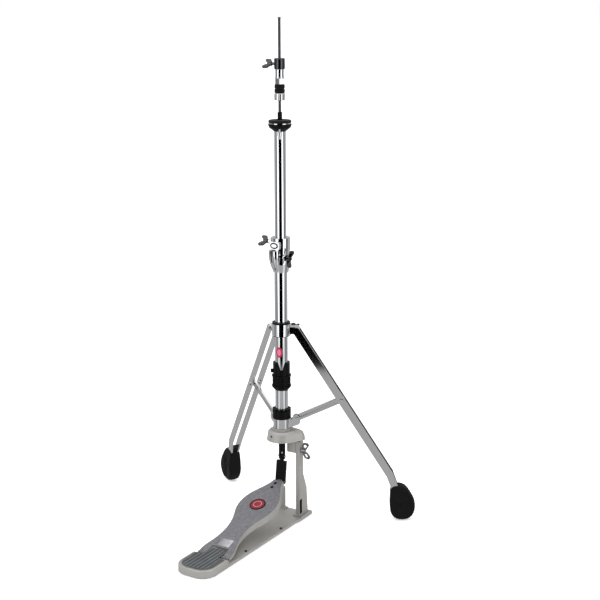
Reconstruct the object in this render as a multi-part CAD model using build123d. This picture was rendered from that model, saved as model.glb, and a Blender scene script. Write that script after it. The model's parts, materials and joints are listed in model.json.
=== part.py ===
from build123d import *
import math
import os

# Two-legged hi-hat stand without cymbals. Millimetres, +Z up, floor at z = 0.
# The main tube stands on the Z axis. The pedal lies along Y: heel at -Y, toe near the tube.

os.makedirs("parts", exist_ok=True)

# ---------------------------------------------------------------- driving dimensions
GAP = 0.3                  # free space between pieces that move past each other
RUN = 0.1                  # radial running clearance of a pin or a sleeve

# base
PLATE_HALF = 45.0          # half the width of the base plate
PLATE_BACK = 42.0          # back edge of the base plate (toe end)
PLATE_FRONT = -280.0       # where the heel plate takes over
PLATE_T = 6.0
PAD_T = 2.0                # rubber sheet under everything
HEEL_END = -358.0
HEEL_TOP = 18.0            # top face of the heel plate
TONGUE_HALF = 20.5         # half width of the heel plate's tongue between the board's ears
TONGUE_FRONT = -249.0
RIBS = 8                   # ribs on the heel pad
HINGE_Y = -272.0
HINGE_Z = 13.4
PIN_R = 2.5

# footboard
BOARD_TILT = 17.5          # slope of the board at rest, degrees
BOARD_LEN = 270.0          # from the heel pin to the toe's end
BOARD_TOP = 1.5            # top face above the heel pin's axis
BOARD_T = 4.0
SKIRT_T = 3.5
EAR_R = 4.6
TOE_PIN_U = 276.0          # toe pin, along the board from the heel pin
TOE_PIN_W = -5.0           # toe pin, under the heel pin's plane
BADGE_R = 18.0
BADGE_U = 179.0

# post and casting head
POST_X = 30.0              # inner face of the post
POST_T = 10.0
POST_Y = 10.0              # front face of the post
POST_TOP = 187.0
POST_BOLT_Z = 166.0
HEAD_BOTTOM = 191.0
ARM_BOTTOM = 159.0         # arm that hangs from the head beside the post
HEAD_TOP = 218.5
HEAD_R = 34.0

# tubes
LOWER_R = 14.3             # lower tube, outside
LOWER_WALL = 1.2
LOWER_BOTTOM = 196.0
LOWER_TOP = 612.0
UPPER_R = 12.7             # upper tube, outside
UPPER_WALL = 1.5
UPPER_BOTTOM = 455.0
UPPER_TOP = 881.0

# pull rod
ROD_R = 3.0
ROD_TOP = 1118.0
ROD_JOIN = 432.0           # where the upper and lower rods meet
CLEVIS_PIN_Z = 150.0
CLEVIS_TOP = 192.0
CLEVIS_R = 7.5

# spring
SPRING_SEAT_Z = 312.0
SPRING_SEAT_T = 6.0
SPRING_TOP = 418.0
SPRING_WIRE_R = 1.2
SPRING_R = 8.6
SPRING_TURNS = 9

# legs
LEG_AZ = {"right": 30.0, "left": 150.0}
LEG_TOP = (33.4, 444.5)    # (radius, height) of the upper pivot
LEG_STRUT = (133.5, 284.7)
LEG_BEND = (243.0, 110.0)
LEG_END = (257.0, 72.0)
HUB_PIVOT = (33.0, 240.0)
BAR_W = 16.0
BAR_T = 4.5
BAR_GAP = 18.5             # between the two bars of one leg
END_GAP = 11.0             # the same where the bars enter the foot
BRACKET_START = 0.5        # share of the way from the bend to the foot
STRUT_W = 14.0
STRUT_T = 6.0
RIVET_R = 3.0
STRUT_PLAY = 1.6           # radial play of the strut's slotted outer eye
FOOT_HALF = 16.0           # half thickness of a rubber foot across the leg

# hub and collar
HUB_R = 19.0
HUB_BOTTOM = 218.9
HUB_TOP = 241.0
RING_R = 20.6
RING_TOP = 264.0
COLLAR_R = 20.5
COLLAR_BOTTOM = 433.0
COLLAR_TOP = 459.5
COLLAR_WING = (80.0, 447.5)  # (direction, height)

# tension adjuster
DIAL_R = 20.0
DIAL_BOTTOM = 307.5
DIAL_TOP = 342.0
CROWN_TOP = 371.0

# height clamp and memory lock
CLAMP_BOTTOM = 576.0
CLAMP_TOP = 625.0
CLAMP_R = 20.0
CLAMP_SLIT = -105.0        # direction the split faces
CLAMP_WING = (-25.0, 610.0)
LOCK_TOP = 652.0
LOCK_R = 21.0
LOCK_WING = (185.0, 641.0)

# seat
SEAT_R = 25.0
SEAT_TOP = 897.0
FELT_T = 6.0
SLEEVE_R = 4.9             # where the cymbal sits
SLEEVE_ROOT_R = 4.5        # inside the seat
SLEEVE_STEP = 906.5
SLEEVE_TOP = 921.5
TILTER = (-60.0, 18.5)     # (direction, radius)

# clutch
CLUTCH_TOP = 1034.0
CLUTCH_WAIST = 1011.0
CLUTCH_FLANGE = 992.0
CLUTCH_R = 11.5
STEM_R = 5.5               # threaded stem under the clutch
STEM_BOTTOM = 949.0
FELTS_TOP = 980.0
NUT_TOP = 961.0
NUT_BOTTOM = 946.5
CLUTCH_WING = (185.0, 1022.0)


# ---------------------------------------------------------------- shared shapes
def tube(r_out, r_in, z0, z1):
    """Upright tube on the Z axis."""
    return Pos(0, 0, z0) * extrude(Circle(r_out) - Circle(r_in), amount=z1 - z0)


def rod(radius, z0, z1):
    """Upright round bar on the Z axis."""
    return Pos(0, 0, z0) * extrude(Circle(radius), amount=z1 - z0)


def cross_pin(radius, half, x, z):
    """Round bar along Y, centred on y = 0."""
    return Pos(x, 0, z) * Rot(90, 0, 0) * Cylinder(radius, 2 * half)


def x_pin(radius, x0, x1, y, z):
    """Round bar along X."""
    return Pos((x0 + x1) / 2, y, z) * Rot(0, 90, 0) * Cylinder(radius, x1 - x0)


def link_bar(a, b, width, thickness, y=0.0):
    """Flat bar with round ends in the leg's own XZ plane, from point a to point b."""
    length = math.dist(a, b)
    angle = math.degrees(math.atan2(b[1] - a[1], b[0] - a[0]))
    middle = Pos((a[0] + b[0]) / 2, y, (a[1] + b[1]) / 2)
    flat = extrude(SlotCenterToCenter(length, width), amount=thickness / 2, both=True)
    return middle * Rot(0, -angle, 0) * Rot(90, 0, 0) * flat


def wing_screw(shank, shank_r, span, boss=9.0, roll=0.0, window=0.0):
    """Wing screw along +X: tip at x = 0, boss behind the shank, two wings in a plane rolled about X.

    window is the size of the hole through each wing, as a share of the wing."""
    body = Pos(shank / 2, 0, 0) * Rot(0, 90, 0) * Cylinder(shank_r, shank)
    body += Pos(shank + 4.5, 0, 0) * Rot(0, 90, 0) * Cylinder(5.0, 9.0)
    reach = span / 2
    for side in (1, -1):
        outline = Polyline(
            (shank + 0.5, side * 3.5),
            (shank + boss * 0.45, side * reach * 0.92),
            (shank + boss * 1.25, side * reach),
            (shank + boss * 1.5, side * reach * 0.72),
            (shank + boss * 0.95, side * 3.5),
            close=True,
        )
        wing = extrude(Plane.XZ * make_face(outline), amount=1.8, both=True)
        wing = fillet(wing.edges().filter_by(Axis.Y), 1.4)
        if window:
            hole = scale(make_face(outline), window)
            centre = make_face(outline).center()
            hole = Pos(centre.X * (1 - window), centre.Y * (1 - window)) * hole
            wing -= extrude(Plane.XZ * hole, amount=5, both=True)
        body += wing
    return Rot(roll, 0, 0) * body


def place(shape, direction, radius, height):
    """Sets a piece built along +X on a bearing round the tube."""
    return Rot(0, 0, direction) * Pos(radius, 0, height) * shape


def on_board(shape):
    """Moves a piece from the board's own frame (u along Y, w up, heel pin at 0) to its tilted place."""
    return Pos(0, HINGE_Y, HINGE_Z) * Rot(BOARD_TILT, 0, 0) * shape


def save(shape, name):
    shape.label = name
    export_step(shape, f"parts/{name}.step")


# ---------------------------------------------------------------- base plate, heel and pad
plate_top = PAD_T + PLATE_T
outline = Polyline(
    (-PLATE_HALF, PLATE_BACK),
    (POST_X - 10, PLATE_BACK),
    (POST_X - 10, PLATE_BACK + 12),
    (PLATE_HALF + 3, PLATE_BACK + 12),
    (PLATE_HALF + 3, POST_Y - 14),
    (PLATE_HALF, POST_Y - 24),
    (PLATE_HALF, PLATE_FRONT),
    (-PLATE_HALF, PLATE_FRONT),
    close=True,
)
plate = extrude(make_face(outline), amount=PLATE_T)
plate = fillet(plate.edges().filter_by(Axis.Z), 3.0)
lip = Pos(PLATE_HALF + 1, PLATE_BACK - 14, PLATE_T) * Box(3, 46, 2.5, align=(Align.CENTER, Align.CENTER, Align.MIN))
base_plate = Pos(0, 0, PAD_T) * (plate + fillet(lip.edges().filter_by(Axis.Z), 1.2))

screw_spots = [
    (x, y)
    for x in (-PLATE_HALF + 6, PLATE_HALF - 6)
    for y in (PLATE_BACK - 110, PLATE_BACK - 250)
]
screw = Pos(0, 0, plate_top) * Cylinder(3.0, 1.4, align=(Align.CENTER, Align.CENTER, Align.MIN))
screw += Pos(0, 0, plate_top) * Cylinder(1.6, 5.0, align=(Align.CENTER, Align.CENTER, Align.MAX))
screw -= Pos(0, 0, plate_top + 0.9) * Cylinder(1.3, 1.0, align=(Align.CENTER, Align.CENTER, Align.MIN))
plate_screws = Compound([Pos(x, y, 0) * screw for x, y in screw_spots])
for x, y in screw_spots:
    base_plate -= Pos(x, y, plate_top) * Cylinder(1.6, 5.0, align=(Align.CENTER, Align.CENTER, Align.MAX))


def heel_outline(inset, front):
    """Round-ended heel shape from the given front edge, set in from the edge by inset."""
    half = PLATE_HALF - inset
    end = HEEL_END + inset
    face = make_face(Polyline((-half, front), (half, front), (half, end), (-half, end), close=True))
    corners = face.vertices().group_by(Axis.Y)[0]
    return fillet(corners, half * 0.72)


heel_front = PLATE_FRONT - 1.0
heel = Pos(0, 0, PAD_T) * extrude(heel_outline(0, heel_front), amount=HEEL_TOP - PAD_T)
heel = fillet(heel.faces().sort_by(Axis.Z)[-1].edges(), 2.5)
tongue_len = TONGUE_FRONT - heel_front
tongue = Pos(0, heel_front + tongue_len / 2 - 2, plate_top) * Box(
    2 * TONGUE_HALF, tongue_len + 4, HEEL_TOP - plate_top, align=(Align.CENTER, Align.CENTER, Align.MIN)
)
heel += fillet(tongue.edges().filter_by(Axis.X).group_by(Axis.Y)[-1], 2.0)
heel_plate = heel - x_pin(PIN_R, -60, 60, HINGE_Y, HINGE_Z)

pad_thick = 1.6
rib_high = 1.6
pad_shape = heel_outline(7.0, heel_front - 6) + Pos(0, (TONGUE_FRONT + heel_front) / 2 - 5) * Rectangle(
    2 * TONGUE_HALF - 2, TONGUE_FRONT - heel_front + 6
)
pad = Pos(0, 0, HEEL_TOP) * extrude(pad_shape, amount=pad_thick)
ribs = []
rib_pitch = 2 * (PLATE_HALF - 9) / RIBS
for i in range(RIBS):
    x = (i - (RIBS - 1) / 2) * rib_pitch
    ribs.append(Pos(x, HEEL_END) * Rectangle(rib_pitch * 0.5, 400))
heel_pad = pad
for rib in ribs:
    heel_pad += Pos(0, 0, HEEL_TOP + pad_thick) * extrude(pad_shape & rib, amount=rib_high)

pin_half = 35.0
heel_pin = x_pin(PIN_R, -pin_half, pin_half, HINGE_Y, HINGE_Z)

under = Pos(0, (PLATE_BACK + heel_front) / 2 - 2) * Rectangle(2 * PLATE_HALF - 6, PLATE_BACK - heel_front)
base_pad = extrude(under + heel_outline(3.0, heel_front + 2), amount=PAD_T)

# ---------------------------------------------------------------- footboard
half_widths = [
    (0, 38), (17, 39), (41, 32), (66, 26), (93, 24.5), (126, 31),
    (152, 41), (180, 45), (214, 37), (245, 20),
]
toe_half = 12.0


def board_outline(inset):
    """Plan of the footboard, set in from the edge by inset."""
    side = [(w - inset, u) for u, w in half_widths] + [(toe_half - inset, BOARD_LEN)]
    heel_half, toe = side[0][0], side[-1][0]
    return make_face([
        Spline(side),
        Line((toe, BOARD_LEN), (-toe, BOARD_LEN)),
        Spline([(-w, u) for w, u in side]),
        Line((heel_half, 0), (-heel_half, 0)),
    ])


board = Pos(0, 0, -20) * extrude(board_outline(0), amount=20 + BOARD_TOP)
side_view = Polyline(
    (0, BOARD_TOP), (BOARD_LEN, BOARD_TOP), (BOARD_LEN, -9), (230, -14), (130, -15), (30, -4.5), (0, -4.5),
    close=True,
)
board &= extrude(Plane.YZ * make_face(side_view), amount=60, both=True)
hollow = Pos(0, 0, -40) * extrude(board_outline(SKIRT_T), amount=40 + BOARD_TOP - BOARD_T)
board -= hollow & Pos(0, BOARD_LEN / 2 + 4, 0) * Box(100, BOARD_LEN - 32, 100)
ear_x = TONGUE_HALF + GAP + 0.3
ear_out = half_widths[0][1]
for side in (-1, 1):
    board += x_pin(EAR_R, min(side * ear_x, side * ear_out), max(side * ear_x, side * ear_out), 0, 0)
slot_len = TONGUE_FRONT - HINGE_Y + 5
board -= Pos(0, slot_len / 2 - 4, 0) * Box(2 * ear_x, slot_len + 8, 40)
board -= x_pin(PIN_R + RUN, -60, 60, 0, 0)
scoop = Pos(0, 44, BOARD_TOP + 34.2) * Rot(0, 90, 0) * Cylinder(36, 34)
board -= scoop
barrel = x_pin(4.4, -5.5, 5.5, TOE_PIN_U, TOE_PIN_W)
neck = Pos(0, BOARD_LEN - 4, TOE_PIN_W) * Box(11, 12, 7, align=(Align.CENTER, Align.CENTER, Align.CENTER))
board += barrel + neck
board -= x_pin(PIN_R, -20, 20, TOE_PIN_U, TOE_PIN_W)
for u in (243.5, 258.5):
    board -= Pos(-2, u, 0) * Cylinder(2.2, 40)
footboard = on_board(board)

badge = Cylinder(BADGE_R, 1.8, align=(Align.CENTER, Align.CENTER, Align.MIN))
badge = fillet(badge.edges().sort_by(Axis.Z)[-1], 0.8)
board_badge = on_board(Pos(0, BADGE_U, BOARD_TOP) * badge)
strap_half = 12.0
toe_pin = on_board(x_pin(PIN_R, -strap_half, strap_half, TOE_PIN_U, TOE_PIN_W))

# ---------------------------------------------------------------- strap between toe and pull rod
tilt = math.radians(BOARD_TILT)
toe_y = HINGE_Y + TOE_PIN_U * math.cos(tilt) - TOE_PIN_W * math.sin(tilt)
toe_z = HINGE_Z + TOE_PIN_U * math.sin(tilt) + TOE_PIN_W * math.cos(tilt)
strap_len = math.hypot(toe_y, CLEVIS_PIN_Z - toe_z)
strap_lean = math.degrees(math.atan2(-toe_y, CLEVIS_PIN_Z - toe_z))
TOE_PLAY = 0.5             # radial play of the strap on the toe pin
strap_t = 7.0
tongue_half = 4.0
strap = Pos(0, 0, -strap_len / 2 - 2) * Box(2 * strap_half, strap_t, strap_len - 17)
strap += x_pin(5.0, -strap_half, strap_half, 0, -strap_len)
strap += Pos(0, 0, -strap_len + 7) * Box(2 * strap_half, strap_t, 14)
strap += x_pin(5.0, -tongue_half, tongue_half, 0, 0) + Pos(0, 0, -7) * Box(2 * tongue_half, strap_t, 14)
strap -= x_pin(5.3, -6.0, 6.0, 0, -strap_len) + Pos(0, 0, -strap_len) * Box(12, 30, 10.6)
strap -= x_pin(PIN_R + RUN, -20, 20, 0, 0)
strap -= x_pin(PIN_R + TOE_PLAY, -20, 20, 0, -strap_len)
link_strap = Pos(0, 0, CLEVIS_PIN_Z) * Rot(-strap_lean, 0, 0) * strap

clevis = rod(CLEVIS_R, CLEVIS_PIN_Z - 6, CLEVIS_TOP)
clevis -= Pos(0, 0, CLEVIS_PIN_Z - 6) * Box(2 * tongue_half + 2 * GAP, 40, 36)
clevis -= x_pin(PIN_R, -20, 20, 0, CLEVIS_PIN_Z)
clevis -= rod(ROD_R, CLEVIS_TOP - 20, CLEVIS_TOP)
rod_clevis = clevis
clevis_pin = x_pin(PIN_R, -CLEVIS_R - 1.5, CLEVIS_R + 1.5, 0, CLEVIS_PIN_Z)

# ---------------------------------------------------------------- post and upright
post_side = Polyline(
    (POST_Y, plate_top), (POST_Y + 36, plate_top), (POST_Y + 31, 69), (POST_Y + 16, 108),
    (POST_Y + 16, POST_TOP), (POST_Y, POST_TOP),
    close=True,
)
post = Pos(POST_X, 0, 0) * extrude(Plane.YZ * make_face(post_side), amount=POST_T)
post = fillet(post.edges().filter_by(Axis.X), 1.5)
post += Pos(POST_X + POST_T / 2 - 0.5, POST_Y + 17, plate_top) * Box(
    POST_T + 7, 44, 3, align=(Align.CENTER, Align.CENTER, Align.MIN)
)
post -= Pos(POST_X + POST_T - 1, POST_Y + 5.5, plate_top + 6) * Box(8, 9, 34, align=(Align.CENTER, Align.CENTER, Align.MIN))
bolt_y = POST_Y + 8
wing_shank_r = 3.5
post -= x_pin(wing_shank_r + RUN, POST_X - 5, POST_X + POST_T + 5, bolt_y, POST_BOLT_Z)

upright = Pos(-24, PLATE_BACK - 7, plate_top) * Box(18, 5, 54, align=(Align.CENTER, Align.CENTER, Align.MIN))
upright = fillet(upright.edges().filter_by(Axis.Y).group_by(Axis.Z)[-1], 5.0)
upright += Pos(-22, PLATE_BACK - 8, plate_top) * Box(24, 12, 3, align=(Align.CENTER, Align.CENTER, Align.MIN))
plate_upright = upright

# ---------------------------------------------------------------- casting head
boss_at = (POST_X + POST_T / 2, POST_Y + 8)


def head_section(inset, boss_inset, z):
    """Outline of the head round the tube and the post, set in at each, at height z."""
    boss_round = Pos(*boss_at) * Circle(13 - boss_inset)
    return Pos(0, 0, z) * make_hull(Circle(HEAD_R - inset).edges() + boss_round.edges())


shoulder = HEAD_TOP - 9
waist = HEAD_BOTTOM + 9
head = loft([head_section(0, 0, HEAD_BOTTOM), head_section(1.5, 1, waist)])
head += loft([head_section(1.5, 1, waist), head_section(3, 5, shoulder)])
head += loft([head_section(3, 5, shoulder), head_section(7, 10.5, shoulder + 4)])
head += Pos(0, 0, HEAD_TOP - 8) * extrude(RegularPolygon(22.5, 8), amount=8)
arm_in = POST_X - GAP
head += Pos(arm_in - 11, bolt_y, ARM_BOTTOM) * Box(
    22, 18, HEAD_BOTTOM + 4 - ARM_BOTTOM, align=(Align.CENTER, Align.CENTER, Align.MIN)
)
head -= rod(11.0, 0, LOWER_BOTTOM + 1)
head -= rod(LOWER_R, LOWER_BOTTOM, HEAD_TOP + 5)
head -= x_pin(wing_shank_r, POST_X - 16, POST_X + 2, bolt_y, POST_BOLT_Z)
set_screw_dir = -105.0
set_hole = Rot(0, 90, 0) * Cylinder(3.0, HEAD_R, align=(Align.CENTER, Align.CENTER, Align.MIN))
head -= place(set_hole, set_screw_dir, LOWER_R, 203.0)
head_casting = head
set_screw = Rot(0, 90, 0) * Cylinder(3.0, 8.0, align=(Align.CENTER, Align.CENTER, Align.MIN))
set_screw -= Pos(5, 0, 0) * Rot(0, 90, 0) * extrude(RegularPolygon(1.6, 6), amount=5)
head_set_screw = place(set_screw, set_screw_dir, LOWER_R, 203.0)
post_shank = POST_T + 14
post_screw = wing_screw(post_shank, wing_shank_r - RUN, 42.0, 14.0, roll=12, window=0.5)
post_wing_screw = Pos(POST_X - 13, bolt_y, POST_BOLT_Z) * post_screw

# ---------------------------------------------------------------- lower tube and what it carries
lower_in = LOWER_R - LOWER_WALL
lower_tube = tube(LOWER_R, lower_in, LOWER_BOTTOM, LOWER_TOP)
slot_w = 6.0
lower_tube -= Pos(0, 0, SPRING_SEAT_Z + 7) * Box(60, slot_w, 26)

clamp_bush = tube(CLAMP_R - 4.5, UPPER_R + RUN, LOWER_TOP, CLAMP_TOP) + tube(
    lower_in, UPPER_R + RUN, LOWER_TOP - 30, LOWER_TOP
)
clamp_profile = Polyline(
    (0, CLAMP_BOTTOM), (CLAMP_R - 3, CLAMP_BOTTOM), (CLAMP_R, CLAMP_BOTTOM + 20), (CLAMP_R, CLAMP_TOP), (0, CLAMP_TOP),
    close=True,
)
clamp = revolve(Plane.XZ * make_face(clamp_profile), Axis.Z)
ear_levels = [
    # height over the clamp's bottom, reach from the tube's axis, width, corner radius
    (0.2, 17.0, 16.0, 6.0), (15.0, 23.5, 23.0, 8.0), (31.0, 27.5, 27.0, 9.0), (CLAMP_TOP - CLAMP_BOTTOM, 28.0, 27.0, 9.0),
]
clamp += Rot(0, 0, CLAMP_SLIT) * loft([
    Pos(reach / 2, 0, CLAMP_BOTTOM + up) * RectangleRounded(reach, width, corner)
    for up, reach, width, corner in ear_levels
])
clamp_boss = Rot(0, 90, 0) * Cylinder(7.5, 7.0, align=(Align.CENTER, Align.CENTER, Align.MIN))
clamp += place(clamp_boss, CLAMP_WING[0], CLAMP_R - 2, CLAMP_WING[1])
clamp -= rod(LOWER_R, 0, LOWER_TOP) + rod(CLAMP_R - 4.5, LOWER_TOP, CLAMP_TOP)
slit = Pos(CLAMP_R + 1, 0, CLAMP_TOP) * Box(24, 3.4, 52)
clamp -= Rot(0, 0, CLAMP_SLIT) * slit
clamp -= place(Rot(0, 90, 0) * Cylinder(2.2, 20), CLAMP_SLIT + 12, CLAMP_R + 2, CLAMP_BOTTOM + 9)
clamp_hole = Rot(0, 90, 0) * Cylinder(3.0, 20.0, align=(Align.CENTER, Align.CENTER, Align.MIN))
clamp -= place(clamp_hole, CLAMP_WING[0], CLAMP_R - 4.4, CLAMP_WING[1])
height_clamp = clamp
clamp_screw_r = 3.0 - RUN / 2
clamp_wing_screw = place(
    wing_screw(12.0, clamp_screw_r, 38.0, 12.0, roll=-14), CLAMP_WING[0], CLAMP_R - 4.0, CLAMP_WING[1]
)

# ---------------------------------------------------------------- tension adjuster
dial_profile = Polyline(
    (LOWER_R + RUN, DIAL_BOTTOM), (DIAL_R - 5, DIAL_BOTTOM), (DIAL_R - 1, DIAL_BOTTOM + 5),
    (DIAL_R - 1, DIAL_TOP), (LOWER_R + RUN, DIAL_TOP),
    close=True,
)
dial = revolve(Plane.XZ * make_face(dial_profile), Axis.Z)
for z in (DIAL_BOTTOM + 8, DIAL_TOP - 3):
    dial += tube(DIAL_R + 1.5, DIAL_R - 2, z, z + 3)
knurl = Pos(DIAL_R - 1, 0, DIAL_BOTTOM + 5) * Cylinder(1.3, DIAL_TOP - DIAL_BOTTOM - 5, align=(Align.CENTER, Align.CENTER, Align.MIN))
dial += [Rot(0, 0, i * 20) * knurl for i in range(18)]
tension_dial = dial - tube(LOWER_R + 2.2, LOWER_R - 1, SPRING_SEAT_Z - 2, DIAL_TOP - 6)

crown = tube(DIAL_R - 1.2, LOWER_R, DIAL_TOP + GAP, CROWN_TOP)
notch = make_face(Polyline((-3, DIAL_TOP + 12), (3, DIAL_TOP + 12), (13, CROWN_TOP + 2), (-13, CROWN_TOP + 2), close=True))
notch_cut = extrude(Plane.YZ * notch, amount=60, both=True)
crown -= Rot(0, 0, -58) * notch_cut
crown_boss = Rot(0, 90, 0) * Cylinder(4.5, 8.0, align=(Align.CENTER, Align.CENTER, Align.MIN))
tension_collar = crown + place(crown_boss, 212.0, DIAL_R - 4, DIAL_TOP + 9)

seat = tube(lower_in - RUN, ROD_R + 0.6, SPRING_SEAT_Z, SPRING_SEAT_Z + SPRING_SEAT_T)
lug = Pos(0, 0, SPRING_SEAT_Z + SPRING_SEAT_T / 2) * Box(2 * (LOWER_R + 1.7), slot_w - 2 * GAP, SPRING_SEAT_T)
spring_seat = seat + (lug - rod(lower_in - 3, 0, 900))

spring_bottom = SPRING_SEAT_Z + SPRING_SEAT_T
spring_height = SPRING_TOP - spring_bottom - 2 * SPRING_WIRE_R - 2 * GAP
spring_path = Pos(0, 0, spring_bottom + SPRING_WIRE_R + GAP) * Helix(spring_height / SPRING_TURNS, spring_height, SPRING_R)
spring_start = Plane(origin=spring_path @ 0, z_dir=spring_path % 0)
pull_spring = sweep(spring_start * Circle(SPRING_WIRE_R), path=spring_path, is_frenet=True)

# ---------------------------------------------------------------- pull rod
lower_rod = rod(ROD_R, CLEVIS_TOP - 20, ROD_JOIN)
pull_rod = rod(ROD_R, ROD_JOIN, ROD_TOP)
pull_rod = chamfer(pull_rod.edges().sort_by(Axis.Z)[-1], 0.8)
rod_coupler = tube(12.0, ROD_R, SPRING_TOP, SPRING_TOP + 5) + tube(6.0, ROD_R, SPRING_TOP, ROD_JOIN + 16)

# ---------------------------------------------------------------- leg hub and index ring
ring = tube(RING_R, LOWER_R, HUB_TOP + GAP, RING_TOP)
tooth = Pos(RING_R - 2, 0, RING_TOP - 5) * Box(8, 3.2, 5.2, align=(Align.CENTER, Align.CENTER, Align.MIN))
index_ring = ring - [Rot(0, 0, i * 30) * tooth for i in range(12)]

hub = tube(HUB_R, LOWER_R + RUN, HUB_BOTTOM, HUB_TOP)
hub = fillet(hub.edges().filter_by(GeomType.CIRCLE).sort_by(Axis.Z)[-1], 0.6)
hub_rivets = []
cheek_in = STRUT_T / 2 + GAP
for az in LEG_AZ.values():
    arm = link_bar((HUB_R - 3, HUB_BOTTOM + 9), (HUB_PIVOT[0], HUB_PIVOT[1] - 6), 17.0, 2 * (cheek_in + 4))
    arm += link_bar(HUB_PIVOT, (HUB_PIVOT[0], HUB_PIVOT[1] - 6), 17.0, 2 * (cheek_in + 4))
    arm -= rod(LOWER_R + 2, 0, 900)
    arm -= rod(RING_R + 1.5, HUB_TOP - 0.01, 900)
    arm -= Pos(HUB_PIVOT[0], 0, HUB_PIVOT[1]) * Box(24, 2 * cheek_in, 40)
    arm -= cross_pin(RIVET_R, 20, *HUB_PIVOT)
    hub += Rot(0, 0, az) * arm
    rivet = cross_pin(RIVET_R, cheek_in + 6, *HUB_PIVOT)
    for y in (-cheek_in - 5, cheek_in + 5):
        rivet += Pos(0, y, 0) * cross_pin(4.5, 1.0, *HUB_PIVOT)
    hub_rivets.append(Rot(0, 0, az) * rivet)
leg_hub = hub
hub_rivets = Compound(hub_rivets)

# ---------------------------------------------------------------- leg collar
insert_r = LOWER_R + 2.8
collar = tube(COLLAR_R, insert_r, COLLAR_BOTTOM, COLLAR_TOP)
collar_rivets = []
bar_in = BAR_GAP / 2
bar_out = bar_in + BAR_T
for az in LEG_AZ.values():
    lug = link_bar((COLLAR_R - 2, LEG_TOP[1]), LEG_TOP, 16.0, 2 * (bar_in - GAP)) - rod(insert_r, 0, 900)
    lug -= cross_pin(RIVET_R, 20, *LEG_TOP)
    collar += Rot(0, 0, az) * lug
    rivet = cross_pin(RIVET_R, bar_out + GAP + 1.0, *LEG_TOP)
    for y in (-bar_out - GAP - 1.0, bar_out + GAP + 1.0):
        rivet += Pos(0, y, 0) * cross_pin(5.5, 1.0, *LEG_TOP)
    collar_rivets.append(Rot(0, 0, az) * rivet)
collar_boss = Rot(0, 90, 0) * Cylinder(7.0, 9.0, align=(Align.CENTER, Align.CENTER, Align.MIN))
collar += place(collar_boss, COLLAR_WING[0], COLLAR_R - 2, COLLAR_WING[1]) - rod(insert_r, 0, 900)
collar_hole = Rot(0, 90, 0) * Cylinder(3.0, 30, align=(Align.CENTER, Align.CENTER, Align.MIN))
leg_collar = collar - place(collar_hole, COLLAR_WING[0], insert_r - 1, COLLAR_WING[1])
collar_rivets = Compound(collar_rivets)
insert = tube(insert_r, LOWER_R + RUN, COLLAR_BOTTOM - 1.5, COLLAR_TOP + 3.5)
insert += tube(COLLAR_R - 0.5, LOWER_R + RUN, COLLAR_TOP, COLLAR_TOP + 3.5)
insert += tube(COLLAR_R - 1.5, LOWER_R + RUN, COLLAR_BOTTOM - 1.5, COLLAR_BOTTOM)
collar_insert = insert
collar_wing_screw = place(
    wing_screw(16.5, 3.0 - RUN / 2, 27.0, 10.0, roll=80), COLLAR_WING[0], insert_r + GAP, COLLAR_WING[1]
)

# ---------------------------------------------------------------- legs
def foot_bar(start, stop, y_start, y_stop, thick_start, thick_stop, width):
    """Bar along the leg's foot end, from share start to share stop of its length, easing across y."""
    run = Vector(LEG_END[0] - LEG_BEND[0], 0, LEG_END[1] - LEG_BEND[1])
    sections = []
    for share, y, thick in ((start, y_start, thick_start), (stop, y_stop, thick_stop)):
        spot = Vector(LEG_BEND[0], y, LEG_BEND[1]) + run * share
        sections.append(Plane(origin=spot, x_dir=(0, 1, 0), z_dir=run) * Rectangle(thick, width))
    return loft(sections)


legs = {}
for side, az in LEG_AZ.items():
    turn = Rot(0, 0, az)
    for name, y in (("outer_bar", -bar_in - BAR_T / 2), ("inner_bar", bar_in + BAR_T / 2)):
        y_end = math.copysign(END_GAP / 2 + BAR_T / 2, y)
        bar = link_bar(LEG_TOP, LEG_BEND, BAR_W, BAR_T, y) + foot_bar(0, 1, y, y_end, BAR_T, BAR_T, BAR_W)
        bar -= cross_pin(RIVET_R + RUN, 40, *LEG_TOP)
        bar -= cross_pin(RIVET_R, 40, *LEG_STRUT)
        legs[f"{side}_leg_{name}"] = turn * bar
    gap_at_start = BAR_GAP + (END_GAP - BAR_GAP) * BRACKET_START
    bracket = foot_bar(BRACKET_START, 1, 0, 0, gap_at_start, END_GAP, BAR_W - 3)
    legs[f"{side}_foot_bracket"] = turn * bracket
    foot_side = Spline(
        (248, 80), (270, 85), (295, 56), (302, 34), (290, 7), (272, 0), (253, 6), (242, 42), periodic=True
    )
    foot_front = Polyline(
        (-12, 90), (12, 90), (FOOT_HALF - 2, 58), (FOOT_HALF, 32), (FOOT_HALF - 3, 6), (FOOT_HALF - 9, -2),
        (9 - FOOT_HALF, -2), (3 - FOOT_HALF, 6), (-FOOT_HALF, 32), (2 - FOOT_HALF, 58),
        close=True,
    )
    foot = extrude(Plane.XZ * make_face(foot_side), amount=FOOT_HALF, both=True)
    foot &= extrude(Plane.YZ * make_face(foot_front), amount=400)
    sole = foot.bounding_box().min.Z
    foot = Pos(0, 0, -sole) * foot
    leg_end = foot_bar(0, 1, 0, 0, 2 * bar_out, END_GAP + 2 * BAR_T, BAR_W)
    legs[f"{side}_foot"] = turn * (foot - leg_end)
    rivet = cross_pin(RIVET_R, bar_out + 1.0, *LEG_STRUT)
    for y in (-bar_out - 1.0, bar_out + 1.0):
        rivet += Pos(0, y, 0) * cross_pin(4.5, 1.0, *LEG_STRUT)
    legs[f"{side}_strut_rivet"] = turn * rivet
    strut = link_bar(HUB_PIVOT, LEG_STRUT, STRUT_W, STRUT_T)
    strut -= cross_pin(RIVET_R + RUN, 20, *HUB_PIVOT)
    strut -= cross_pin(RIVET_R + STRUT_PLAY, 20, *LEG_STRUT)
    legs[f"{side}_strut"] = turn * strut

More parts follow.
